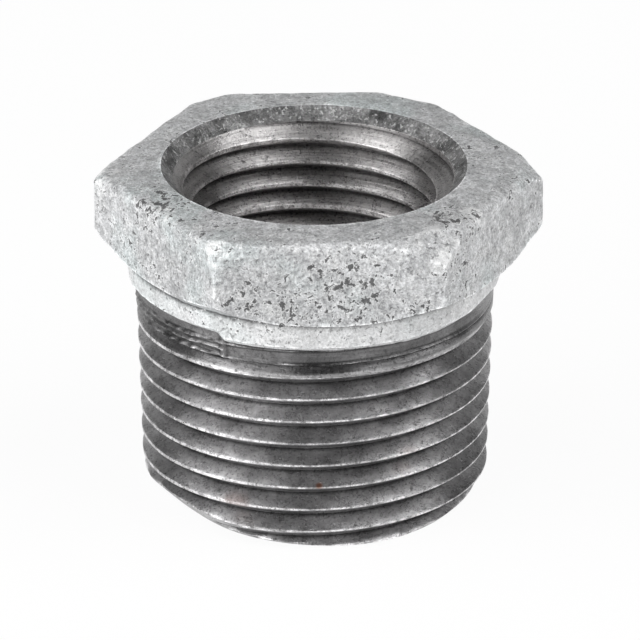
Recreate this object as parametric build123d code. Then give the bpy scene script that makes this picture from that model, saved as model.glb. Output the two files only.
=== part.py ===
from build123d import *
from math import atan, ceil, cos, degrees, radians, tan
import os

# Hex reducing bushing: one iron casting with a tapered pipe thread cut outside for a 3/4 inch socket
# and another cut inside for a 1/2 inch pipe. Millimetres, +Z up, origin at the middle of the lower end
# face, a flat of the hexagon facing -Y. Both threads are right-handed.

# Taper pipe thread, the same form outside and inside
pitch = 1.8143              # 14 threads to the inch
taper = 1 / 32              # growth of a thread's radius for each millimetre along the axis
flank_angle = 30            # degrees, between a flank and the plane square to the axis
thread_depth = 1.37         # crest to root
crest_width = 0.116         # the small flat on each crest
runout_turns = 2            # turns over which a groove fades to nothing

# Male thread
male_pitch_diameter = 24.58  # at the lower end face
male_length = 16.75          # lower end face to the shoulder under the collar
male_start = 2.55            # the groove begins this far below the lower end face
end_chamfer = 1.2            # at the lower end face, where the thread begins

# Female thread
female_pitch_diameter = 19.77  # at the top face
female_depth = 12.33           # top face to where the groove begins to show
drill_allowance = 0.07         # the drilled wall stands this far inside the crests at the top face
mouth_diameter = 22.9          # outer edge of the countersink
far_chamfer = 0.5              # at the bore's lower end

# Collar and hexagon
across_flats = 29.4
head_height = 6.65           # hexagon, from its seat on the collar to the top face
collar_height = 2.3          # from the shoulder to the hexagon's seat
collar_diameter = 28.2
collar_chamfer = 0.6
underside_slope = 35         # degrees, rise of the hexagon's underside from collar to corners
top_edge_radius = 1.3        # soft cast edge round the top face
corner_edge_radius = 0.5     # soft cast edge down each corner
corner_chamfer_diameter = 30.6  # the corners are sloped off outside this circle on the top face
corner_chamfer_slope = 38       # degrees below level
slope_swell = 0.1            # both slopes stand this far proud at their middles

# Sizes that follow from the ones above
flank = tan(radians(flank_angle))
root_width = pitch - crest_width - 2 * thread_depth * flank
male_crest_radius = (male_pitch_diameter + thread_depth) / 2
male_root_radius = male_crest_radius - thread_depth
female_root_radius = (female_pitch_diameter + thread_depth) / 2
bore_radius = female_root_radius - thread_depth - drill_allowance
seat_height = male_length + collar_height
overall_height = seat_height + head_height
corner_radius = across_flats / 2 / cos(radians(30))

# Cutting sizes that leave no trace on the finished piece
turn_gap = 0.02 * pitch      # neighbouring turns of a groove cutter stay this far apart at their widest
clear = 0.05                 # a fading groove ends this far off the metal
beyond = 5                   # blanks and bores reach this far past what they are trimmed to


def turned(*points):
    """A solid of revolution about Z from its (radius, height) outline."""
    return revolve(Plane.XZ * Polygon(*points, align=None), axis=Axis.Z)


def groove_turn(root_radius, growth, height, outward):
    """One turn of a V cutter that starts above +X and opens outward or inward, its radius growing."""
    open_width = pitch - turn_gap
    reach = (open_width - root_width) / 2 / flank
    mouth_radius = root_radius + (reach if outward else -reach)
    corners = (
        (root_radius, height - root_width / 2),
        (mouth_radius, height - open_width / 2),
        (mouth_radius, height + open_width / 2),
        (root_radius, height + root_width / 2),
    )
    slope = atan(growth)
    rails = [Helix(pitch / cos(slope), pitch, r, (0, 0, z), cone_angle=degrees(slope)) for r, z in corners]
    sides = [Face.make_surface_from_curves(*pair) for pair in zip(rails, rails[1:] + rails[:1])]
    ends = [Face(Wire.make_polygon([rail @ end for rail in rails])) for end in (0, 1)]
    return Solid(Shell(sides + ends))


def groove(root_radius_at, start, turns, outward):
    """A V cutter of whole turns, each a cone's turn between the root radii at its two ends."""
    heights = [start + turn * pitch for turn in range(turns)]
    growths = [(root_radius_at(z + pitch) - root_radius_at(z)) / pitch for z in heights]
    return [groove_turn(root_radius_at(z), growth, z, outward) for z, growth in zip(heights, growths)]


def male_groove():
    """The outside groove, which leaves the stem below the shoulder."""
    turns = int((male_length + male_start) / pitch - 0.5)
    fade_from = (turns - runout_turns) * pitch - male_start
    fade = (thread_depth + clear) / (runout_turns * pitch)

    def root_radius_at(z):
        return male_root_radius + taper * z + max(0, z - fade_from) * fade

    return groove(root_radius_at, -male_start, turns, outward=True)


def female_groove():
    """The inside groove, which sinks into the drilled wall and runs out through the top face."""
    start = overall_height - female_depth
    turns = ceil(female_depth / pitch + 0.5)
    full_from = start + runout_turns * pitch
    full_radius = female_root_radius - taper * (overall_height - full_from)
    fade = (full_radius - bore_radius + clear) / (runout_turns * pitch)

    def root_radius_at(z):
        return full_radius + (z - full_from) * (fade if z < full_from else taper)

    return groove(root_radius_at, start, turns, outward=False)


def stem():
    """The tapered end with its thread, chamfered at the lower face."""
    chamfer_radius = male_crest_radius + taper * end_chamfer
    shoulder_radius = male_crest_radius + taper * male_length
    blank = turned(
        (0, 0),
        (chamfer_radius - end_chamfer, 0),
        (chamfer_radius, end_chamfer),
        (shoulder_radius, male_length),
        (0, male_length),
    )
    return blank.cut(*male_groove())


def collar():
    """The round neck between the thread's shoulder and the hexagon's seat."""
    radius = collar_diameter / 2
    return turned(
        (0, male_length),
        (radius - collar_chamfer, male_length),
        (radius, male_length + collar_chamfer),
        (radius, seat_height),
        (0, seat_height),
    )


def head_envelope():
    """The turned limits of the head: a swelled slope under the corners and another over them."""
    collar_radius = collar_diameter / 2
    chamfer_radius = corner_chamfer_diameter / 2
    rise = (corner_radius - collar_radius) * tan(radians(underside_slope))
    fall = (corner_radius - chamfer_radius) * tan(radians(corner_chamfer_slope))
    inner_low, low = (collar_radius, seat_height), (corner_radius, seat_height + rise)
    high, inner_high = (corner_radius, overall_height - fall), (chamfer_radius, overall_height)
    outline = (
        SagittaArc(inner_low, low, -slope_swell)
        + Line(low, high)
        + SagittaArc(high, inner_high, -slope_swell)
        + Polyline(inner_high, (0, overall_height), (0, seat_height), inner_low)
    )
    return revolve(Plane.XZ * make_face(outline), axis=Axis.Z)


def head():
    """The hexagon, with sloped corners above and below and soft cast edges."""
    bar = extrude(RegularPolygon(across_flats / 2, 6, major_radius=False), overall_height)
    bar = fillet(bar.edges().group_by(Axis.Z)[-1], top_edge_radius)
    bar = fillet(bar.edges().filter_by(Axis.Z), corner_edge_radius)
    return bar & head_envelope()


def bore():
    """The drilled hole, its countersunk mouth and the chamfer at its far end."""
    mouth_radius = mouth_diameter / 2
    return turned(
        (0, -beyond),
        (bore_radius + far_chamfer + beyond, -beyond),
        (bore_radius, far_chamfer),
        (bore_radius, overall_height - (mouth_radius - bore_radius)),
        (mouth_radius + beyond, overall_height + beyond),
        (0, overall_height + beyond),
    )


def hex_bushing():
    """The whole bushing as one solid."""
    body = stem() + collar() + head()
    return (body - bore()).cut(*female_groove())


os.makedirs("parts", exist_ok=True)
export_step(hex_bushing(), "parts/hex_bushing.step")
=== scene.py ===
import math

import bmesh
import bpy
from bpy.props import FloatProperty, FloatVectorProperty, PointerProperty
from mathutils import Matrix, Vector, noise


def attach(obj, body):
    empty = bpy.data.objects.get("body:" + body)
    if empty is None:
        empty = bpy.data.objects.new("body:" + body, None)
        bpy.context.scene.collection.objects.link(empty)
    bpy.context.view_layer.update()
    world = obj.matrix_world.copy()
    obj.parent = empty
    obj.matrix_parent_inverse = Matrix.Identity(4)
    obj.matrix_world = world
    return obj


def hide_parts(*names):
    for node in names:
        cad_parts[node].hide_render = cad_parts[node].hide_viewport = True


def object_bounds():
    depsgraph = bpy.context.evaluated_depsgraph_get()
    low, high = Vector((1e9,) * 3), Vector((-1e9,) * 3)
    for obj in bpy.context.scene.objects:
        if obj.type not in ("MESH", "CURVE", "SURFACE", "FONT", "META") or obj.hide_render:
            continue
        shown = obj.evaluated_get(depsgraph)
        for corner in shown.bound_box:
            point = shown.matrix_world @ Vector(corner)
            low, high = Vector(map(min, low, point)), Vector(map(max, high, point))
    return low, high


bl_info = {
    "name": "Hex reducing bushing",
    "version": (1, 0, 0),
    "blender": (4, 5, 0),
    "location": "View3D > Sidebar > Bushing",
    "description": "A galvanised hex reducing bushing with cut taper threads, on a white stage",
    "category": "Object",
}

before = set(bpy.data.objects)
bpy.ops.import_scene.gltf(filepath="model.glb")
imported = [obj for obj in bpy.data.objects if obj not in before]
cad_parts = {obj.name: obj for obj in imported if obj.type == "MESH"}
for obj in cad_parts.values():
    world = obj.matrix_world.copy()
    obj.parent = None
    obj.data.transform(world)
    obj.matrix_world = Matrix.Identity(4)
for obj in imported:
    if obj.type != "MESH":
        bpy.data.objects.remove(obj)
CAD_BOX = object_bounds()

NODE = "hex_bushing"
BODY = "root"
MM = 0.001

# Outer sizes in mm, from the frame
HEIGHT = round(CAD_BOX[1][2] / MM, 2)
HALF_FLATS = round(CAD_BOX[1][1] / MM, 2)

# The mesh: columns round the axis, and rows along each stretch of the section
COLUMNS = 432
BAND_ROWS = 24
COLLAR_ROWS = 8
UNDERSIDE_ROWS = 8
SIDE_ROWS = 19
EDGE_ROWS = 6
TOP_ROWS = 11
MOUTH_ROWS = 5
WALL_ROWS = 4
FAR_CHAMFER_ROWS = 3
END_ROWS = 5
# Vertices closer than this in mm are merged, and angles this close to a full turn, in radians, are 0
MERGE_GAP = 0.002
SEAM = 1e-5

# A thread's rows in one pitch: 0 and 1 are the edges of the groove's floor, 2 and 3 those of the
# crest above it, 4 is the next floor, and the rest are shares of the flanks between them
OUTSIDE_ROWS = (0, 1, 1.35, 1.7, 2, 3, 3.2, 3.4, 3.6, 3.8)
INSIDE_ROWS = (0, 1, 1.5, 2, 3, 3.25, 3.5, 3.75)
# Depth gained along the axis on the flank of a 60 degree V
FLANK = math.sqrt(3)
# A blunted crest reaches at most this share of the pitch to either side of its middle
WIDEST_CREST = 0.42

# Sizes below are in mm. Places round the axis are bearings, in degrees from the front, -Y,
# counter-clockwise from above. A stretch, two of them, is where something begins and where it is full.

# Stem: the blank sat this far off the thread's axis, and its end chamfer was cut askew
OFF_AXIS = 0.12
RIM_SWELLS = ((18, 0.72, 30), (-60, -0.9, 27))  # middle, how far the rim stands out, width

# Shoulder under the collar: a little low, a step up beyond the place where the die stopped, and a rise
# to the right
SHOULDER_SINK = 0.12
STEP_RISE = 0.58
STEP_START = (-31.5, -34.5)
STEP_MIDDLE = -45
STEP_WIDTH = 75
RIGHT_RISE = 0.4
RIGHT_RISE_START = (38, 63)
RIGHT_RISE_END = (140, 100)

# Band over the last full crest, this many pitches high, and the ridges that the die left on it: their
# heights in front, how far they stand out and how broad they are
BAND_PITCHES = 1.08
DIE_LINES = (15.34, 16.49)
DIE_LINE_RELIEF = 0.17
DIE_LINE_BREADTH = 0.1
DIE_LINE_START = (-33, -31.5)
DIE_LINE_END = (75, 45)
CHATTER_LINES = (14.95, 15.46, 16.0, 16.5)
CHATTER_RELIEF = 0.26
CHATTER_BREADTH = 0.12
CHATTER_START = (-32, -33.5)
CHATTER_MIDDLE = -50
CHATTER_WIDTH = 40
# The marks of the chatter: their mean strength, how much it varies, and the size of one, in degrees
# round the axis and as so many to each mm of height
CHATTER_MEAN = 0.6
CHATTER_CHANGE = 0.9
CHATTER_ROUND = 2.5
CHATTER_UP = 3
# The burr where the die stopped
BURR_RELIEF = 0.2
BURR_MIDDLE = -32.8
BURR_WIDTH = 1.0
BURR_HEIGHTS = (15.2, 15.4)

# Collar: its radius is this much less to the left and right, and its chamfer and wall take these
# shares of its rows. The last row stops just short of the seat, which softens that corner
COLLAR_OVAL = 0.17
COLLAR_SHARES = (0.15, 0.45, 1.01)

# Seat of the hexagon on the collar: it dips in front and to the right
SEAT_DIP = 0.33
SEAT_DIP_START = (-55, -5)
SEAT_DIP_END = (120, 70)

# Underside of the hexagon: rise for each mm outwards, less to the right, and less in front
UNDERSIDE_SLOPE = 0.66
UNDERSIDE_LEAN = 0.12
UNDERSIDE_FRONT = 0.36
UNDERSIDE_FRONT_WIDTH = 25
FULL_SIDE = 2  # this high above the seat, a flat is clear of the slopes above and below it

# Flats from the one in front: how far each stands off its nominal distance from the axis, because the
# casting sits off the threads' axis. Corners from the one after that flat: where its slope starts on
# the top face, and its fall in degrees
FLAT_OFFSETS = (0.0, 0.36, 0.0, 0.0, -0.5, -0.31)
CORNER_SLOPES = ((14.7, 40), (15.1, 35), (14.7, 35), (15.0, 36), (15.4, 38), (15.5, 44))
CORNER_SOFTNESS = 0.2
# A flat or a slope counts where the cosine of the angle from its middle is more than this
FLAT_REACH = 0.5
SLOPE_REACH = 0.8

# Bore: gap below the cone of the mouth, and pitches from the groove's beginning to the plain wall
THROAT_GAP = 0.03
WALL_PITCHES = 0.5

# Cast skin: size of the bumps, their share of the relief, and their place in the noise
SKIN_BUMPS = ((3.2, 0.9, (0, 0, 0)), (1.1, 0.5, (7, 3, 5)), (0.45, 0.25, (2, 9, 4)))
# Edges between faces at a wider angle than this are sharp
SHARP_EDGE = math.radians(38)
# Raises the lean of a vertex off its neighbours to a mask that reaches 1 on the crests
CONVEXITY_GAIN = 6.0

# The body's finishes in order. Cut iron begins this far inside the collar's radius
ZINC, IRON, TORN = range(3)
CUT_INSET = 0.4

# Where the skin is pitted most, and the corners given a painted highlight: centre and reach
PITTED_PATCHES = (
    ((1.5, -15.0, 21.6), 5.5),
    ((-6.0, -14.7, 21.3), 2.6),
    ((-2.6, -14.7, 20.6), 3.2),
    ((7.0, -14.7, 20.2), 2.0),
    ((-8.6, -14.3, 25.4), 1.3),
    ((-11.5, -6.0, 25.7), 4.0),
    ((10.0, -10.0, 25.6), 3.5),
)
PAINTED_CORNER_HIGHLIGHTS = (
    ((-8.6, -14.3, 25.2), 1.8),
    ((8.8, -13.6, 25.2), 2.8),
    ((11.8, -9.3, 25.6), 1.8),
    ((-12.3, -8.0, 25.6), 2.0),
    ((-15.8, 0.0, 24.9), 2.2),
)
# Rust: centre, reach and strength
RUST_SPOTS = (
    ((-0.3, -13.0, 5.3), 0.4, 0.9),
    ((6.4, -11.4, 6.5), 1.4, 0.2),
    ((-6.5, -11.2, 3.0), 1.6, 0.25),
)
COLLAR_PALE = (18.3, 18.9)     # the collar's paler zinc ends between these heights
BORE_LIGHT_RADII = (10.9, 11.1)     # the painted light inside the bore ends between these radii
COLLAR_SHADE_HEIGHTS = (14.3, 14.6)    # painted shade under the collar darkens the stem's iron above the first height, fully above the second
COLLAR_SHADE_LEAN = -0.025             # added to the height there for each mm to the right

# Lamps: name, bearing and rise in degrees, size in metres, brightness against a white floor
LAMP_DISTANCE = 0.55
LAMP_AIM = (0, 0, 0.013)
LAMPS = (
    ("left", -56, 22, (0.60, 0.46), 3.1),
    ("high_left", -92, 55, (0.38, 0.34), 2.4),
    ("right", 68, 50, (0.44, 0.44), 3.2),
    ("low_right", 42, 12, (0.33, 0.24), 1.0),
    ("low_front", 0, 6, (0.26, 0.18), 1.2),
)
# Camera: what it looks at and from how far, its bearing and rise, and its sensor and lens
LOOK_AT = (0.439, -0.023, 12.97)
CAMERA_DISTANCE = 748.2
CAMERA_BEARING = -3.0
CAMERA_RISE = 23.95
SENSOR = 36.0
LENS = 560.1
CLIP = (0.01, 20.0)
# Floor and tent: half the floor's side in metres, how much of it glows, and the tent's greys from
# the horizon up to where it is dark
FLOOR_HALF = 1.5
FLOOR_GLOW = 0.93
FLOOR_PAINT = 0.9
TENT_PALE = 0.9
TENT_DARK = 0.02
TENT_DARK_FROM = 0.6


def length(name, description, value):
    return FloatProperty(name=name, description=description, default=value * MM, unit="LENGTH", precision=5)


def run_out(name, value):
    return FloatProperty(name=name, description="Turns over which the groove fades", default=value)


def colouring(name, description, value):
    return FloatVectorProperty(name=name, description=description, default=value, subtype="COLOR",
                               min=0, max=1)


class ThreadSizes(bpy.types.PropertyGroup):
    pitch: length("Pitch", "From one crest to the next", 1.8143)
    depth: length("Depth", "From crest to root", 1.37)
    crest: length("Crest width", "The small flat on each crest", 0.116)
    taper: FloatProperty(name="Taper", description="Growth of the radius along the axis", default=1 / 32)
    outside_radius: length("Outside crest radius", "At the lower end face", 12.975)
    outside_start: length("Outside start", "How far below the end face the groove begins", 2.55)
    inside_radius: length("Inside root radius", "At the top face", 10.57)
    inside_depth: length("Inside depth", "From the top face to where the groove begins", 12.33)
    outside_fade: run_out("Outside run-out", 0.8)
    inside_fade: run_out("Inside run-out", 2.0)


class CastingSizes(bpy.types.PropertyGroup):
    height: length("Height", "Over both end faces", HEIGHT)
    shoulder: length("Shoulder", "Height of the thread's shoulder", 16.75)
    seat: length("Seat", "Height of the hexagon's seat on the collar", 19.05)
    half_flats: length("Half across flats", "From the axis to a flat", HALF_FLATS)
    collar_radius: length("Collar radius", "Of the round neck", 14.1)
    collar_chamfer: length("Collar chamfer", "At the shoulder", 0.3)
    top_edge: length("Top edge radius", "Round the top face", 0.65)
    top_droop: length("Top droop", "How far the top face falls towards its edge", 0.18)
    mouth_radius: length("Mouth radius", "Outer edge of the countersink", 11.45)
    bore_radius: length("Bore radius", "The drilled wall", 9.13)
    far_chamfer: length("Far chamfer", "At the bore's lower end", 0.5)
    end_chamfer: length("End chamfer", "At the lower end face", 1.2)
    skin_relief: length("Skin relief", "Height of the cast skin's unevenness", 0.09)


class Finish(bpy.types.PropertyGroup):
    zinc: colouring("Zinc", "Colour of the galvanised skin", (0.56, 0.565, 0.575))
    scale: colouring("Scale", "Colour of the dark pits and of the torn mouth", (0.06, 0.06, 0.06))
    bloom: colouring("Bloom", "Colour of the faint bloom on the zinc", (0.50, 0.56, 0.56))
    iron: colouring("Cut iron", "Colour of the cut threads", (0.25, 0.247, 0.25))
    # Painted light: the iron inside the bore is lightened towards this colour
    bright: colouring("Bright iron", "Colour of the cut bore", (0.46, 0.445, 0.44))
    rust: colouring("Rust", "Colour of the rust spots", (0.24, 0.10, 0.055))


# ---- shape ---------------------------------------------------------------------------------------


def clamp(value, low, high):
    return max(low, min(high, value))


def ramp(value, start, full):
    """0 up to start, 1 beyond full, and straight between; full may be the lower of the two."""
    return clamp((value - start) / (full - start), 0, 1)


def swell(value, middle, width):
    """1 at the middle, falling off smoothly to either side."""
    return math.exp(-(((value - middle) / width) ** 2))


def soft_min(values, width):
    """The lowest value, rounded off where two of them come within width of each other."""
    first, second = sorted(values)[:2]
    overlap = max(0.0, width - (second - first)) / width
    return first - overlap * overlap * width / 4


def between(steps, share):
    """The (radius, height) a share of the way along a broken line of (share, radius, height)."""
    for (s0, r0, h0), (s1, r1, h1) in zip(steps, steps[1:]):
        if share <= s1:
            part = (share - s0) / (s1 - s0)
            return r0 + (r1 - r0) * part, h0 + (h1 - h0) * part


def bearing(angle):
    """Degrees from the front, -Y, counter-clockwise from above, -180 to 180."""
    return (math.degrees(angle) + 270) % 360 - 180


def drum(rows, climb=0):
    """Rows one apart on a wall of radius 1, climbing by so many rows in each turn."""
    bm = bmesh.new()
    ends = [bm.verts.new((1, 0, 0)), bm.verts.new((1, 0, rows - 1))]
    edge = bm.edges.new(ends)
    bmesh.ops.subdivide_edges(bm, edges=[edge], cuts=rows - 2)
    bmesh.ops.spin(bm, geom=bm.verts[:] + bm.edges[:], cent=(0, 0, 0), axis=(0, 0, 1),
                   dvec=(0, 0, climb / COLUMNS), angle=math.tau, steps=COLUMNS, use_merge=climb == 0)
    return bm


def pressed(bm, place):
    """Moves each vertex of a drum to the radius and height that place gives for its angle and row."""
    for vert in bm.verts:
        angle = math.atan2(vert.co.y, vert.co.x) % math.tau
        if math.tau - angle < SEAM:
            angle = 0.0
        radius, height = place(angle, vert.co.z)
        vert.co = (radius * math.cos(angle), radius * math.sin(angle), height)
    return bm


def row_count(stretches):
    """Rows in stretches that each share their last row with the next one's first."""
    return sum(rows - 1 for rows, place in stretches) + 1


def along(stretches, angle, row):
    """The (radius, height) at an angle and a row of such stretches."""
    row = round(row)
    for rows, place in stretches:
        if row < rows:
            return place(angle, row / (rows - 1))
        row -= rows - 1


class Thread:
    """A V groove that climbs one pitch a turn, and the rows that follow it."""

    def __init__(self, sizes, start, rows, blunting):
        self.sizes, self.start, self.rows, self.blunting = sizes, start, rows, blunting

    def depth(self, angle, height):
        """Depth below the sharp crest."""
        turned = (height - self.start) / self.sizes.pitch - angle / math.tau
        from_crest = abs(turned % 1 - 0.5) * self.sizes.pitch
        return clamp((from_crest - self.sizes.crest / 2) * FLANK, 0, self.sizes.depth)

    def row_height(self, angle, row):
        turn = angle / math.tau
        whole = round(row - turn * len(self.rows))
        floor = self.start + (whole // len(self.rows) + turn) * self.sizes.pitch
        crest = floor + self.sizes.pitch / 2
        half = self.sizes.crest / 2
        wide = min(WIDEST_CREST * self.sizes.pitch, half + self.blunting(angle, crest) / FLANK)
        points = (floor - half, floor + half, crest - wide, crest + wide, floor + self.sizes.pitch - half)
        share = self.rows[whole % len(self.rows)]
        place = int(share)
        return points[place] + (points[place + 1] - points[place]) * (share - place)

    def drum(self, top):
        whole_turns = math.ceil((top - self.start) / self.sizes.pitch)
        return drum(whole_turns * len(self.rows) + 1, len(self.rows))


class Bushing:
    """The section of the bushing at every angle, in metres."""

    def __init__(self, thread, casting):
        self.thread, self.casting = thread, casting
        whole_turns = int((casting.shoulder + thread.outside_start) / thread.pitch - 0.5)
        self.fade_from = (whole_turns - thread.outside_fade) * thread.pitch - thread.outside_start
        self.outside = Thread(thread, -thread.outside_start, OUTSIDE_ROWS, self.outside_blunting)
        self.inside = Thread(thread, casting.height - thread.inside_depth, INSIDE_ROWS, self.inside_blunting)
        self.band_foot = casting.shoulder - BAND_PITCHES * thread.pitch
        self.throat = casting.height - (casting.mouth_radius - thread.inside_radius) - THROAT_GAP * MM
        self.wall_top = self.inside.start - WALL_PITCHES * thread.pitch
        self.rim_height = casting.height - casting.top_droop
        self.edge_foot = self.rim_height - casting.top_edge
        self.head_stretches = (
            (BAND_ROWS, self.band),
            (COLLAR_ROWS, self.collar),
            (UNDERSIDE_ROWS, self.underside),
            (SIDE_ROWS, self.side),
            (EDGE_ROWS, self.edge),
            (TOP_ROWS, self.top),
            (MOUTH_ROWS, self.mouth),
        )
        self.wall_stretches = (
            (WALL_ROWS, self.drilled_wall),
            (FAR_CHAMFER_ROWS, self.far_chamfer),
            (END_ROWS, self.end_face),
        )

    # stem
    def shortfall(self, angle):
        """How far the blank falls short of the thread's crests, because it sat off their axis."""
        return OFF_AXIS * MM * max(0.0, -math.cos(angle))

    def outside_blunting(self, angle, height):
        """How much of the crest is missing: the blank falls short, and the groove fades."""
        thread = self.thread
        fade = max(0.0, height - self.fade_from) * thread.depth / (thread.outside_fade * thread.pitch)
        return fade + self.shortfall(angle)

    def stem_radius(self, angle, height):
        thread = self.thread
        blank = thread.outside_radius + thread.taper * height - self.shortfall(angle)
        radius = blank - max(0.0, self.outside.depth(angle, height) - self.outside_blunting(angle, height))
        return min(radius, self.rim_radius(angle) + height)

    def rim_radius(self, angle):
        """Inner edge of the end chamfer, on the lower end face."""
        side = bearing(angle)
        swells = sum(size * swell(side, middle, width) for middle, size, width in RIM_SWELLS)
        return self.thread.outside_radius - self.casting.end_chamfer + swells * MM

    def stem(self, angle, row):
        height = clamp(self.outside.row_height(angle, row), 0, self.band_foot)
        return self.stem_radius(angle, height), height

    # band and collar
    def shoulder_height(self, angle):
        side = bearing(angle)
        step = STEP_RISE * ramp(side, *STEP_START) * swell(side, STEP_MIDDLE, STEP_WIDTH)
        right = RIGHT_RISE * ramp(side, *RIGHT_RISE_START) * ramp(side, *RIGHT_RISE_END)
        return self.casting.shoulder + (step + right - SHOULDER_SINK) * MM

    def band_radius(self, angle, height):
        """The stem over its last full crest, with the fine ridges that the die left."""
        side = bearing(angle)
        level = height / MM - self.thread.pitch / MM * side / 360
        lines = sum(swell(level, line, DIE_LINE_BREADTH) for line in DIE_LINES)
        lines *= DIE_LINE_RELIEF * ramp(side, *DIE_LINE_START) * ramp(side, *DIE_LINE_END)
        chatter = sum(swell(level, line, CHATTER_BREADTH) for line in CHATTER_LINES)
        chatter *= CHATTER_RELIEF * ramp(side, *CHATTER_START) * swell(side, CHATTER_MIDDLE, CHATTER_WIDTH)
        marks = noise.noise(Vector((side / CHATTER_ROUND, level * CHATTER_UP, 0)))
        chatter *= max(0.0, CHATTER_MEAN + CHATTER_CHANGE * marks)
        burr = BURR_RELIEF * swell(side, BURR_MIDDLE, BURR_WIDTH) * ramp(level, *BURR_HEIGHTS)
        return self.stem_radius(angle, height) + (lines + chatter + burr) * MM

    def band(self, angle, share):
        height = self.band_foot + (self.shoulder_height(angle) - self.band_foot) * share
        return self.band_radius(angle, height), height

    def collar_radius(self, angle):
        return self.casting.collar_radius - COLLAR_OVAL * MM * math.cos(angle) ** 2

    def collar(self, angle, share):
        radius, shoulder = self.collar_radius(angle), self.shoulder_height(angle)
        chamfer = self.casting.collar_chamfer
        corners = (
            (radius - chamfer, shoulder),
            (radius, shoulder + chamfer),
            (radius, self.seat_height(angle)),
        )
        steps = [(0.0, self.band_radius(angle, shoulder), shoulder)]
        steps += [(part, *corner) for part, corner in zip(COLLAR_SHARES, corners)]
        return between(steps, share)

    # hexagon
    def seat_height(self, angle):
        side = bearing(angle)
        return self.casting.seat - SEAT_DIP * MM * ramp(side, *SEAT_DIP_START) * ramp(side, *SEAT_DIP_END)

    def underside_height(self, angle, radius):
        slope = UNDERSIDE_SLOPE - UNDERSIDE_LEAN * math.cos(angle)
        slope -= UNDERSIDE_FRONT * swell(bearing(angle), 0, UNDERSIDE_FRONT_WIDTH)
        return self.seat_height(angle) + (radius - self.collar_radius(angle)) * slope

    def hexagon_radius(self, angle, inset, height):
        """Radius of the flats and of the slopes over the corners, for a hexagon that much smaller."""
        casting = self.casting
        values = [casting.half_flats * 2]
        for side, offset in enumerate(FLAT_OFFSETS):
            across = math.cos(angle + math.pi / 2 - side * math.pi / 3)
            if across > FLAT_REACH:
                values.append((casting.half_flats + offset * MM - inset) / across)
        for corner, (start, fall) in enumerate(CORNER_SLOPES):
            across = math.cos(angle + math.pi / 2 - (corner + 0.5) * math.pi / 3)
            if across > SLOPE_REACH:
                level = start * MM + (casting.height - height) / math.tan(math.radians(fall))
                values.append(level / across)
        return soft_min(values, CORNER_SOFTNESS * MM)

    def side_radius(self, angle):
        return self.hexagon_radius(angle, 0, self.casting.seat + FULL_SIDE * MM)

    def underside(self, angle, share):
        collar = self.collar_radius(angle)
        radius = collar + (self.side_radius(angle) - collar) * share
        return radius, self.underside_height(angle, radius)

    def side(self, angle, share):
        foot = self.underside_height(angle, self.side_radius(angle))
        height = foot + (self.edge_foot - foot) * share
        return self.hexagon_radius(angle, 0, height), height

    def edge(self, angle, share):
        bend = math.pi / 2 * share
        height = self.edge_foot + self.casting.top_edge * math.sin(bend)
        return self.hexagon_radius(angle, self.casting.top_edge * (1 - math.cos(bend)), height), height

    def top(self, angle, share):
        rim = self.hexagon_radius(angle, self.casting.top_edge, self.rim_height)
        radius = rim + (self.casting.mouth_radius - rim) * share
        return radius, self.casting.height - self.casting.top_droop * (1 - share) ** 2

    def mouth_radius(self, height):
        return self.casting.mouth_radius - (self.casting.height - height)

    def mouth(self, angle, share):
        height = self.casting.height + (self.throat - self.casting.height) * share
        return self.mouth_radius(height), height

    def head(self, angle, row):
        return along(self.head_stretches, angle, row)

    # bore
    def root_radius(self, height):
        """Radius of the inside groove's floor, which fades into the drilled wall."""
        thread, casting = self.thread, self.casting
        full_from = self.inside.start + thread.inside_fade * thread.pitch
        full_radius = thread.inside_radius - thread.taper * (casting.height - full_from)
        fade = (full_radius - casting.bore_radius) / (thread.inside_fade * thread.pitch)
        return full_radius + (height - full_from) * (thread.taper if height > full_from else fade)

    def inside_blunting(self, angle, height):
        return max(0.0, self.casting.bore_radius - self.root_radius(height) + self.thread.depth)

    def bore_radius(self, angle, height):
        crest = self.root_radius(height) - self.thread.depth
        cut = crest + self.inside.depth(angle, height)
        return max(cut, self.casting.bore_radius, self.mouth_radius(height))

    def bore(self, angle, row):
        height = clamp(self.inside.row_height(angle, row), self.wall_top, self.throat)
        return self.bore_radius(angle, height), height

    def drilled_wall(self, angle, share):
        return self.casting.bore_radius, self.wall_top + (self.casting.far_chamfer - self.wall_top) * share

    def far_chamfer(self, angle, share):
        chamfer = self.casting.far_chamfer
        return self.casting.bore_radius + chamfer * share, chamfer * (1 - share)

    def end_face(self, angle, share):
        inner = self.casting.bore_radius + self.casting.far_chamfer
        return inner + (self.stem_radius(angle, 0) - inner) * share, 0.0

    def wall(self, angle, row):
        return along(self.wall_stretches, angle, row)


def joined(stretches):
    """One closed mesh of (drum, place, finish) stretches that meet at their ends."""
    whole = bmesh.new()
    for part, place, material in stretches:
        pressed(part, place)
        for face in part.faces:
            face.material_index = material
        mesh = bpy.data.meshes.new("stretch")
        part.to_mesh(mesh)
        part.free()
        whole.from_mesh(mesh)
        bpy.data.meshes.remove(mesh)
    bmesh.ops.remove_doubles(whole, verts=whole.verts, dist=MERGE_GAP * MM)
    bmesh.ops.dissolve_degenerate(whole, edges=whole.edges, dist=MERGE_GAP / 2 * MM)
    bmesh.ops.recalc_face_normals(whole, faces=whole.faces)
    return whole


def part_finishes(bm, throat, casting):
    """Gives the head's faces inside the mouth the torn finish, and those cut by the die the iron one."""
    for face in bm.faces:
        if face.material_index != ZINC:
            continue
        middle = face.calc_center_median()
        radius = middle.xy.length
        if middle.z > throat and radius < casting.mouth_radius:
            face.material_index = TORN
        elif middle.z < casting.seat and radius < casting.collar_radius - CUT_INSET * MM:
            face.material_index = IRON


def roughen_skin(bm, relief):
    """Lifts the zinc's vertices by the bumps of the cast skin."""
    for vert in bm.verts:
        if all(face.material_index == ZINC for face in vert.link_faces):
            bumps = sum(share * noise.noise(vert.co / (size * MM) + Vector(shift))
                        for size, share, shift in SKIN_BUMPS)
            vert.co += vert.normal * (relief * bumps)


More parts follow.
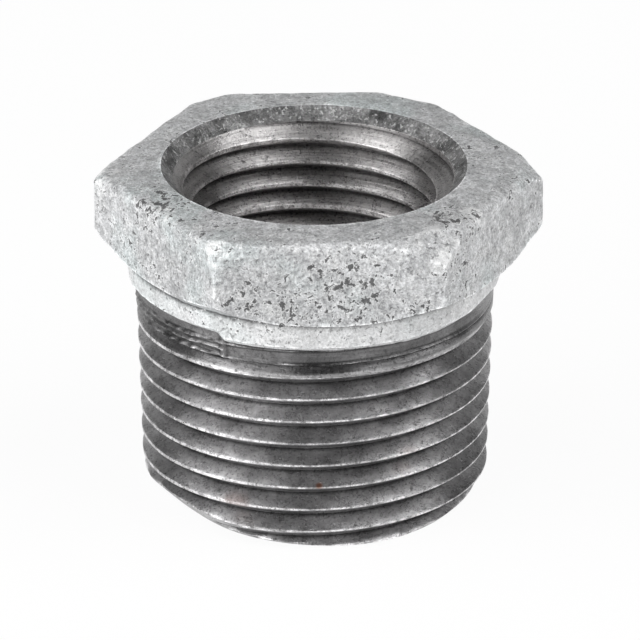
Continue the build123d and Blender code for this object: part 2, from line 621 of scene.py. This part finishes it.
def mark_convexity(bm):
    """Stores how far each vertex stands out from its neighbours, from -1 in a hollow to 1 on a ridge. The
    shaders lighten the ridges by it, for scuffing and as a painted highlight, and darken the hollows as
    painted shade.
    """
    convexity = bm.verts.layers.float.new("convexity")
    for vert in bm.verts:
        away = [(vert.co - edge.other_vert(vert).co).normalized() for edge in vert.link_edges]
        leans = [way.dot(vert.normal) for way in away]
        vert[convexity] = clamp(CONVEXITY_GAIN * sum(leans) / len(leans), -1, 1)


def build_bushing(thread, casting):
    shape = Bushing(thread, casting)
    bm = joined((
        (shape.outside.drum(shape.band_foot), shape.stem, IRON),
        (drum(row_count(shape.head_stretches)), shape.head, ZINC),
        (shape.inside.drum(shape.throat), shape.bore, IRON),
        (drum(row_count(shape.wall_stretches)), shape.wall, IRON),
    ))
    part_finishes(bm, shape.throat, casting)
    bm.normal_update()
    roughen_skin(bm, casting.skin_relief)
    bm.normal_update()
    mark_convexity(bm)
    for face in bm.faces:
        face.smooth = True
    for edge in bm.edges:
        edge.smooth = edge.calc_face_angle(0) < SHARP_EDGE
    return bm


def as_object(bm, name, materials):
    mesh = bpy.data.meshes.new(name)
    bm.to_mesh(mesh)
    bm.free()
    for material in materials:
        mesh.materials.append(material)
    obj = bpy.data.objects.new(name, mesh)
    bpy.context.scene.collection.objects.link(obj)
    return obj


# ---- materials -----------------------------------------------------------------------------------


def grey(level):
    return (level, level, level, 1.0)


def rgba(rgb, gain=1.0):
    return (*(gain * part for part in rgb), 1.0)


class Wiring:
    """Adds nodes to a tree, joining or setting their inputs by name or number."""

    def __init__(self, tree):
        self.tree = tree

    def add(self, kind, values=None, **settings):
        node = self.tree.nodes.new(kind)
        for name, value in settings.items():
            setattr(node, name, value)
        for name, value in (values or {}).items():
            if isinstance(value, bpy.types.NodeSocket):
                self.tree.links.new(value, node.inputs[name])
            else:
                node.inputs[name].default_value = value
        return node

    def use(self, effect, **values):
        """Places a shared effect, which is made at its first use."""
        tree = bpy.data.node_groups.get(effect) or EFFECTS[effect]()
        return self.add("ShaderNodeGroup", values, node_tree=tree).outputs

    def place(self):
        """Where the surface lies on the piece."""
        return self.add("ShaderNodeTexCoord").outputs["Object"]

    def parts(self, vector):
        return self.add("ShaderNodeSeparateXYZ", {0: vector}).outputs

    def math(self, operation, a, b=0.0, c=0.0):
        return self.add("ShaderNodeMath", {0: a, 1: b, 2: c}, operation=operation).outputs[0]

    def add_up(self, a, b):
        return self.math("ADD", a, b)

    def less(self, a, b):
        return self.math("SUBTRACT", a, b)

    def times(self, a, b):
        return self.math("MULTIPLY", a, b)

    def most(self, a, b):
        return self.math("MAXIMUM", a, b)

    def line(self, value, slope, start):
        """A straight line: start where the value is 0, rising by the slope."""
        return self.math("MULTIPLY_ADD", value, slope, start)

    def window(self, value, low, high):
        """0 below low, 1 above high, smooth between."""
        return self.add("ShaderNodeMapRange", {"Value": value, "From Min": low, "From Max": high},
                        interpolation_type="SMOOTHSTEP").outputs[0]

    def below(self, value, low, high):
        """1 below low, 0 above high, smooth between."""
        return self.less(1.0, self.window(value, low, high))

    def spread(self, value, low, high):
        """Low where the value is 0, high where it is 1."""
        return self.add("ShaderNodeMapRange", {"Value": value, "To Min": low, "To Max": high}).outputs[0]

    def noise(self, vector, scale, detail=4.0, roughness=0.6, distortion=0.0):
        values = {"Vector": vector, "Scale": scale, "Detail": detail, "Roughness": roughness,
                  "Distortion": distortion}
        return self.add("ShaderNodeTexNoise", values).outputs["Fac"]

    def mix(self, factor, a, b):
        return self.add("ShaderNodeMix", {0: factor, 6: a, 7: b}, data_type="RGBA").outputs[2]

    def coat(self, colour, mask, share, over):
        """The colour with so much of another over it where the mask is."""
        return self.mix(self.times(mask, share), colour, over)

    def shaded(self, colour, value):
        return self.add("ShaderNodeHueSaturation", {"Color": colour, "Value": value}).outputs[0]

    def spot(self, place, centre, reach):
        """1 at a centre in mm, falling to 0 at the reach."""
        return self.use("near", Place=place, Centre=Vector(centre) * MM, Reach=reach * MM)["Mask"]

    def wear_highlight_and_shade(self, value, ridge_gain, hollow_gain):
        """A brightness raised on the ridges, for scuffing and as a painted highlight, and lowered in the
        hollows as painted shade.
        """
        stored = self.add("ShaderNodeAttribute", attribute_name="convexity").outputs["Fac"]
        convexity = self.use("convexity", Wear=stored)
        gain = self.line(convexity["Ridge"], ridge_gain, 1.0)
        return self.times(value, self.line(convexity["Hollow"], hollow_gain, gain))


# Turns the sheen so that it spreads across the lines of the cut
QUARTER_TURN = 0.25


def plain_material(name):
    material = bpy.data.materials.new(name)
    material.use_nodes = True
    material.node_tree.nodes.clear()
    return material, Wiring(material.node_tree)


def metal(wires, colour, roughness, metallic, height, strength, relief, turned=0.0):
    """A metal surface; turned is how far the lathe drew its sheen out across the cut."""
    bump = wires.add("ShaderNodeBump", {"Height": height, "Strength": strength, "Distance": relief * MM})
    shader = wires.add("ShaderNodeBsdfPrincipled", {"Base Color": colour, "Roughness": roughness,
                                                    "Metallic": metallic, "Normal": bump.outputs[0]})
    if turned:
        shader.inputs["Anisotropic"].default_value = turned
        shader.inputs["Anisotropic Rotation"].default_value = QUARTER_TURN
        round_axis = wires.add("ShaderNodeTangent", direction_type="RADIAL", axis="Z")
        wires.tree.links.new(round_axis.outputs[0], shader.inputs["Tangent"])
    wires.add("ShaderNodeOutputMaterial", {"Surface": shader.outputs[0]})


# ---- shared effects ------------------------------------------------------------------------------

FLOAT = "NodeSocketFloat"
VECTOR = "NodeSocketVector"


def effect(name, given, made):
    """An empty node group with its sockets, the wiring inside it, and what it is given."""
    tree = bpy.data.node_groups.new(name, "ShaderNodeTree")
    for label, kind in given.items():
        tree.interface.new_socket(label, in_out="INPUT", socket_type=kind)
    for label in made:
        tree.interface.new_socket(label, in_out="OUTPUT", socket_type=FLOAT)
    wires = Wiring(tree)
    return tree, wires, wires.add("NodeGroupInput").outputs


def pits_effect():
    """Small irregular spots and their rims; the density, 0 to 1, sets how much surface they take."""
    tree, wires, given = effect("pits", {"Place": VECTOR, "Scale": FLOAT, "Density": FLOAT}, ("Mask", "Rim"))
    spots = wires.noise(given["Place"], given["Scale"], detail=3, roughness=0.75, distortion=0.25)
    # a spot is where the noise is above this edge, which falls as they crowd
    edge = wires.line(given["Density"], -0.16, 0.66)
    mask = wires.window(spots, edge, wires.add_up(edge, 0.05))
    rim = wires.window(spots, wires.less(edge, 0.06), wires.less(edge, 0.01))
    wires.add("NodeGroupOutput", {"Mask": mask, "Rim": wires.less(rim, mask)})
    return tree


def near_effect():
    """1 at a centre, falling to 0 at the reach."""
    tree, wires, given = effect("near", {"Place": VECTOR, "Centre": VECTOR, "Reach": FLOAT}, ("Mask",))
    gap = wires.add("ShaderNodeVectorMath", {0: given["Place"], 1: given["Centre"]}, operation="DISTANCE")
    share = wires.math("DIVIDE", gap.outputs["Value"], given["Reach"])
    wires.add("NodeGroupOutput", {"Mask": wires.below(share, 0.25, 1.0)})
    return tree


def grain_effect():
    """Fine and coarser light and dark grain about 1, and the height that goes with it."""
    tree, wires, given = effect("grain", {"Place": VECTOR, "Depth": FLOAT}, ("Value", "Height"))
    fine = wires.noise(given["Place"], scale=5200, detail=3, roughness=0.75)
    coarse = wires.noise(given["Place"], scale=1500, detail=4, roughness=0.7)
    height = wires.add_up(wires.times(fine, 0.6), wires.times(coarse, 0.4))
    value = wires.add_up(wires.times(wires.less(height, 0.5), given["Depth"]), 1.0)
    wires.add("NodeGroupOutput", {"Value": value, "Height": height})
    return tree


def drawn_effect():
    """Noise drawn out along the axis or round it, as the two pulls scale it."""
    tree, wires, given = effect("drawn", {"Place": VECTOR, "Round": FLOAT, "Along": FLOAT}, ("Lines",))
    parts = wires.parts(given["Place"])
    radius = wires.math("SQRT", wires.add_up(wires.times(parts["X"], parts["X"]),
                                             wires.times(parts["Y"], parts["Y"])))
    # the lines step with the radius too, so that level faces get them
    level = wires.times(wires.add_up(parts["Z"], wires.times(radius, 0.7)), given["Along"])
    drawn = wires.add("ShaderNodeCombineXYZ", {0: wires.times(parts["X"], given["Round"]),
                                               1: wires.times(parts["Y"], given["Round"]), 2: level})
    lines = wires.noise(drawn.outputs[0], scale=1.0, detail=4, roughness=0.65)
    wires.add("NodeGroupOutput", {"Lines": lines})
    return tree


def convexity_effect():
    """Splits how far a vertex stands out into ridges, narrowed, for scuffing and a painted highlight, and
    hollows, for painted shade.
    """
    tree, wires, given = effect("convexity", {"Wear": FLOAT}, ("Ridge", "Hollow"))
    ridge = wires.math("POWER", wires.most(given["Wear"], 0.0), 4.0)
    wires.add("NodeGroupOutput", {"Ridge": ridge, "Hollow": wires.math("MINIMUM", given["Wear"], 0.0)})
    return tree


EFFECTS = {
    "pits": pits_effect,
    "near": near_effect,
    "grain": grain_effect,
    "drawn": drawn_effect,
    "convexity": convexity_effect,
}


# ---- finishes ------------------------------------------------------------------------------------

# Scales are in patches of noise to the metre. A window's two numbers are the heights of the noise at
# which a mask begins and is full, and a coat's number is how much of the mask it takes.
# A shift, in metres, to another stretch of the same noise
ASIDE = (5, 3, 8)
# Greys of the zinc where it is frosted and pale, of its painted corner highlights, and of the torn iron's
# light parts and glints
FROSTED = 0.74
PALE = 0.88
CORNER_HIGHLIGHT_GREY = 0.92
TORN_LIGHT = 0.34
GLINT = 0.8


def crowding(wires, place, neck):
    """How closely the pits stand, 0 to 1: in drifts, more in the pitted patches, few on the collar."""
    drifts = wires.noise(place, scale=210, detail=3, roughness=0.6)
    crowd = wires.times(wires.window(drifts, 0.4, 0.66), 0.6)
    for centre, reach in PITTED_PATCHES:
        crowd = wires.most(crowd, wires.times(wires.spot(place, centre, reach), 0.82))
    return wires.times(crowd, wires.line(neck, -0.7, 1.0))


def zinc_skin(finish):
    """Clouded zinc with a pale collar, painted highlights on the corners, ridges lighter for scuffing and as
    a painted highlight, painted shade in the hollows, light flecks and dark pits.
    """
    material, wires = plain_material("zinc_skin")
    place = wires.place()
    cloud = wires.noise(place, scale=240, detail=5, roughness=0.65)
    patch = wires.noise(place, scale=620, detail=5, roughness=0.7)
    bloom = wires.window(wires.noise(place, scale=150, detail=2), 0.5, 0.68)
    grain = wires.use("grain", Place=place, Depth=3.6)
    runs = wires.use("drawn", Place=place, Round=2600.0, Along=260.0)["Lines"]
    neck = wires.below(wires.parts(place)["Z"], COLLAR_PALE[0] * MM, COLLAR_PALE[1] * MM)
    large = wires.use("pits", Place=place, Scale=1500.0, Density=crowding(wires, place, neck))
    small = wires.use("pits", Place=place, Scale=2700.0, Density=0.42)["Mask"]
    aside = wires.add("ShaderNodeVectorMath", {0: place, 1: ASIDE}).outputs[0]
    flecks = wires.use("pits", Place=aside, Scale=1900.0, Density=0.3)["Mask"]

    colour = wires.mix(wires.window(cloud, 0.35, 0.68), rgba(finish.zinc), rgba(finish.zinc, 0.72))
    colour = wires.coat(colour, wires.window(patch, 0.46, 0.68), 0.45, grey(FROSTED))
    colour = wires.coat(colour, bloom, 0.5, rgba(finish.bloom))
    value = wires.times(grain["Value"], wires.line(runs, 0.5, 0.75))
    # Ridges lighter, more so in these patches, for scuffing and as a painted highlight; hollows darker as
    # painted shade
    wear_and_highlight = wires.window(patch, 0.38, 0.6)
    colour = wires.shaded(colour, wires.wear_highlight_and_shade(value, wear_and_highlight, 0.85))
    for mask, share in ((flecks, 0.6), (large["Rim"], 0.4), (neck, 0.35)):
        colour = wires.coat(colour, mask, share, grey(PALE))
    # Painted highlights on the corners
    for centre, reach in PAINTED_CORNER_HIGHLIGHTS:
        corner_highlight = wires.times(wires.spot(place, centre, reach), wires.window(patch, 0.4, 0.55))
        colour = wires.coat(colour, corner_highlight, 0.75, grey(CORNER_HIGHLIGHT_GREY))
    pits = wires.most(wires.times(large["Mask"], 0.9), wires.times(small, 0.45))
    colour = wires.mix(pits, colour, rgba(finish.scale))

    height = wires.add_up(wires.times(grain["Height"], 0.8), patch)
    height = wires.less(height, wires.times(pits, 0.7))
    metal(wires, colour, roughness=wires.spread(patch, 0.34, 0.6), metallic=0.4, height=height,
          strength=0.8, relief=0.3)
    return material


def cut_iron(finish):
    """Turned iron with fine lines round the axis, crests lighter for scuffing and as a painted highlight,
    painted shade in the hollows and under the collar, painted light in the bore, rust spots and specks.
    """
    material, wires = plain_material("cut_iron")
    place = wires.place()
    cloud = wires.noise(place, scale=300, detail=5, roughness=0.65)
    grain = wires.use("grain", Place=place, Depth=2.2)
    lines = wires.use("drawn", Place=place, Round=170.0, Along=5200.0)["Lines"]
    specks = wires.use("pits", Place=place, Scale=2600.0, Density=0.38)["Mask"]
    across = wires.add("ShaderNodeVectorMath", {0: place, 1: (1, 1, 0)}, operation="MULTIPLY")
    radius = wires.add("ShaderNodeVectorMath", {0: across.outputs[0]}, operation="LENGTH").outputs["Value"]
    # Inside the bore, which gets painted light
    bore = wires.below(radius, BORE_LIGHT_RADII[0] * MM, BORE_LIGHT_RADII[1] * MM)
    parts = wires.parts(place)
    # Painted shade on the stem's iron under the collar, kept out of the bore
    level = wires.line(parts["X"], COLLAR_SHADE_LEAN, parts["Z"])
    collar_shade = wires.times(wires.window(level, COLLAR_SHADE_HEIGHTS[0] * MM, COLLAR_SHADE_HEIGHTS[1] * MM), wires.less(1.0, bore))

    colour = wires.mix(wires.window(cloud, 0.35, 0.7), rgba(finish.iron), rgba(finish.iron, 1.7))
    # Painted light: the iron inside the bore is lighter
    colour = wires.coat(colour, bore, 0.6, rgba(finish.bright))
    value = wires.times(grain["Value"], wires.line(lines, 1.2, 0.4))
    # Painted shade under the collar
    value = wires.times(value, wires.line(collar_shade, -0.55, 1.0))
    # Crests lighter for scuffing and as a painted highlight; hollows darker as painted shade
    wear_and_highlight_noise = wires.noise(place, scale=1300, detail=4, roughness=0.7)
    wear_and_highlight = wires.times(wires.window(wear_and_highlight_noise, 0.36, 0.6), 1.4)
    colour = wires.shaded(colour, wires.wear_highlight_and_shade(value, wear_and_highlight, 0.7))
    for centre, reach, strength in RUST_SPOTS:
        colour = wires.coat(colour, wires.spot(place, centre, reach), strength, rgba(finish.rust))
    colour = wires.coat(colour, specks, 0.7, rgba(finish.scale))

    height = wires.add_up(wires.times(lines, 0.8), wires.times(grain["Height"], 0.5))
    height = wires.less(height, wires.times(specks, 0.5))
    metal(wires, colour, roughness=wires.spread(grain["Height"], 0.16, 0.42), metallic=0.9, height=height,
          strength=0.6, relief=0.12, turned=0.92)
    return material


def torn_mouth(finish):
    """The dark, torn cut of the countersink, with glints."""
    material, wires = plain_material("torn_mouth")
    place = wires.place()
    cloud = wires.noise(place, scale=500, detail=5, roughness=0.7)
    grain = wires.use("grain", Place=place, Depth=4.0)
    glints = wires.use("pits", Place=place, Scale=2600.0, Density=0.55)["Mask"]
    colour = wires.mix(wires.window(cloud, 0.3, 0.7), rgba(finish.scale), grey(TORN_LIGHT))
    colour = wires.shaded(colour, grain["Value"])
    colour = wires.coat(colour, glints, 0.5, grey(GLINT))
    height = wires.add_up(grain["Height"], cloud)
    metal(wires, colour, roughness=0.42, metallic=0.8, height=height, strength=0.9, relief=0.3)
    return material


# ---- stage ---------------------------------------------------------------------------------------


def direction(side, rise):
    """The way from the object towards a bearing and a rise in degrees."""
    turn, tilt = math.radians(side), math.radians(rise)
    return Vector((math.sin(turn) * math.cos(tilt), -math.cos(turn) * math.cos(tilt), math.sin(tilt)))


def aimed(name, data, aim, away, distance):
    """Places a lamp or a camera so far away from its aim, looking at it."""
    obj = bpy.data.objects.new(name, data)
    obj.location = Vector(aim) + away * distance
    obj.rotation_euler = (-away).to_track_quat("-Z", "Y").to_euler()
    bpy.context.scene.collection.objects.link(obj)
    return obj


def add_lamp(name, side, rise, size, brightness):
    lamp = bpy.data.lights.new(name, "AREA")
    lamp.shape = "RECTANGLE"
    lamp.size, lamp.size_y = size
    lamp.energy = brightness * math.pi * size[0] * size[1]
    aimed(name, lamp, LAMP_AIM, direction(side, rise), LAMP_DISTANCE)


def white_floor():
    material, wires = plain_material("white_floor")
    path = wires.add("ShaderNodeLightPath").outputs
    seen = wires.most(wires.most(path["Is Camera Ray"], path["Is Glossy Ray"]), path["Is Transmission Ray"])
    paint = wires.add("ShaderNodeBsdfDiffuse", {"Color": grey(FLOOR_PAINT)})
    glow = wires.add("ShaderNodeEmission", {"Color": grey(1.0), "Strength": 1.0})
    both = wires.add("ShaderNodeMixShader", {0: wires.times(seen, FLOOR_GLOW), 1: paint.outputs[0],
                                             2: glow.outputs[0]})
    wires.add("ShaderNodeOutputMaterial", {"Surface": both.outputs[0]})
    return material


def tent():
    """The world: a pale tent that darkens upwards."""
    world = bpy.data.worlds.new("studio")
    world.use_nodes = True
    world.node_tree.nodes.clear()
    wires = Wiring(world.node_tree)
    upward = wires.parts(wires.add("ShaderNodeTexCoord").outputs["Generated"])["Z"]
    cloth = wires.mix(wires.window(upward, 0.0, TENT_DARK_FROM), grey(TENT_PALE), grey(TENT_DARK))
    background = wires.add("ShaderNodeBackground", {"Color": cloth, "Strength": 1.0})
    wires.add("ShaderNodeOutputWorld", {"Surface": background.outputs[0]})
    return world


# ---- operators -----------------------------------------------------------------------------------


class BUSHING_OT_body(bpy.types.Operator):
    """Build the bushing with its cast head, cut threads and bore"""

    bl_idname = "bushing.body"
    bl_label = "Bushing"

    def execute(self, context):
        scene = context.scene
        bm = build_bushing(scene.bushing_thread, scene.bushing_casting)
        finishes = tuple(make(scene.bushing_finish) for make in (zinc_skin, cut_iron, torn_mouth))
        piece = as_object(bm, "bushing_body", finishes)
        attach(piece, BODY)
        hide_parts(NODE)
        return {"FINISHED"}


class BUSHING_OT_stage(bpy.types.Operator):
    """Lay the white floor and set the lamps and the camera"""

    bl_idname = "bushing.stage"
    bl_label = "Stage"

    def execute(self, context):
        bm = bmesh.new()
        bmesh.ops.create_grid(bm, x_segments=1, y_segments=1, size=FLOOR_HALF)
        floor = as_object(bm, "floor", (white_floor(),))
        for lamp in LAMPS:
            add_lamp(*lamp)
        lens = bpy.data.cameras.new("camera")
        lens.sensor_width, lens.lens = SENSOR, LENS
        lens.clip_start, lens.clip_end = CLIP
        away = direction(CAMERA_BEARING, CAMERA_RISE)
        context.scene.camera = aimed("camera", lens, Vector(LOOK_AT) * MM, away, CAMERA_DISTANCE * MM)
        context.scene.world = tent()
        context.scene.view_settings.view_transform = "Standard"
        return {"FINISHED"}


class BUSHING_PT_panel(bpy.types.Panel):
    bl_label = "Bushing"
    bl_space_type = "VIEW_3D"
    bl_region_type = "UI"
    bl_category = "Bushing"

    def draw(self, context):
        scene = context.scene
        for group in (scene.bushing_thread, scene.bushing_casting, scene.bushing_finish):
            for name in group.__annotations__:
                self.layout.prop(group, name)
        self.layout.operator(BUSHING_OT_body.bl_idname)
        self.layout.operator(BUSHING_OT_stage.bl_idname)


CLASSES = (ThreadSizes, CastingSizes, Finish, BUSHING_OT_body, BUSHING_OT_stage, BUSHING_PT_panel)


def register():
    for cls in CLASSES:
        bpy.utils.register_class(cls)
    bpy.types.Scene.bushing_thread = PointerProperty(type=ThreadSizes)
    bpy.types.Scene.bushing_casting = PointerProperty(type=CastingSizes)
    bpy.types.Scene.bushing_finish = PointerProperty(type=Finish)


def unregister():
    del bpy.types.Scene.bushing_finish
    del bpy.types.Scene.bushing_casting
    del bpy.types.Scene.bushing_thread
    for cls in reversed(CLASSES):
        bpy.utils.unregister_class(cls)


def main():
    register()
    bpy.ops.bushing.body()
    bpy.ops.bushing.stage()


if __name__ == "__main__":
    main()
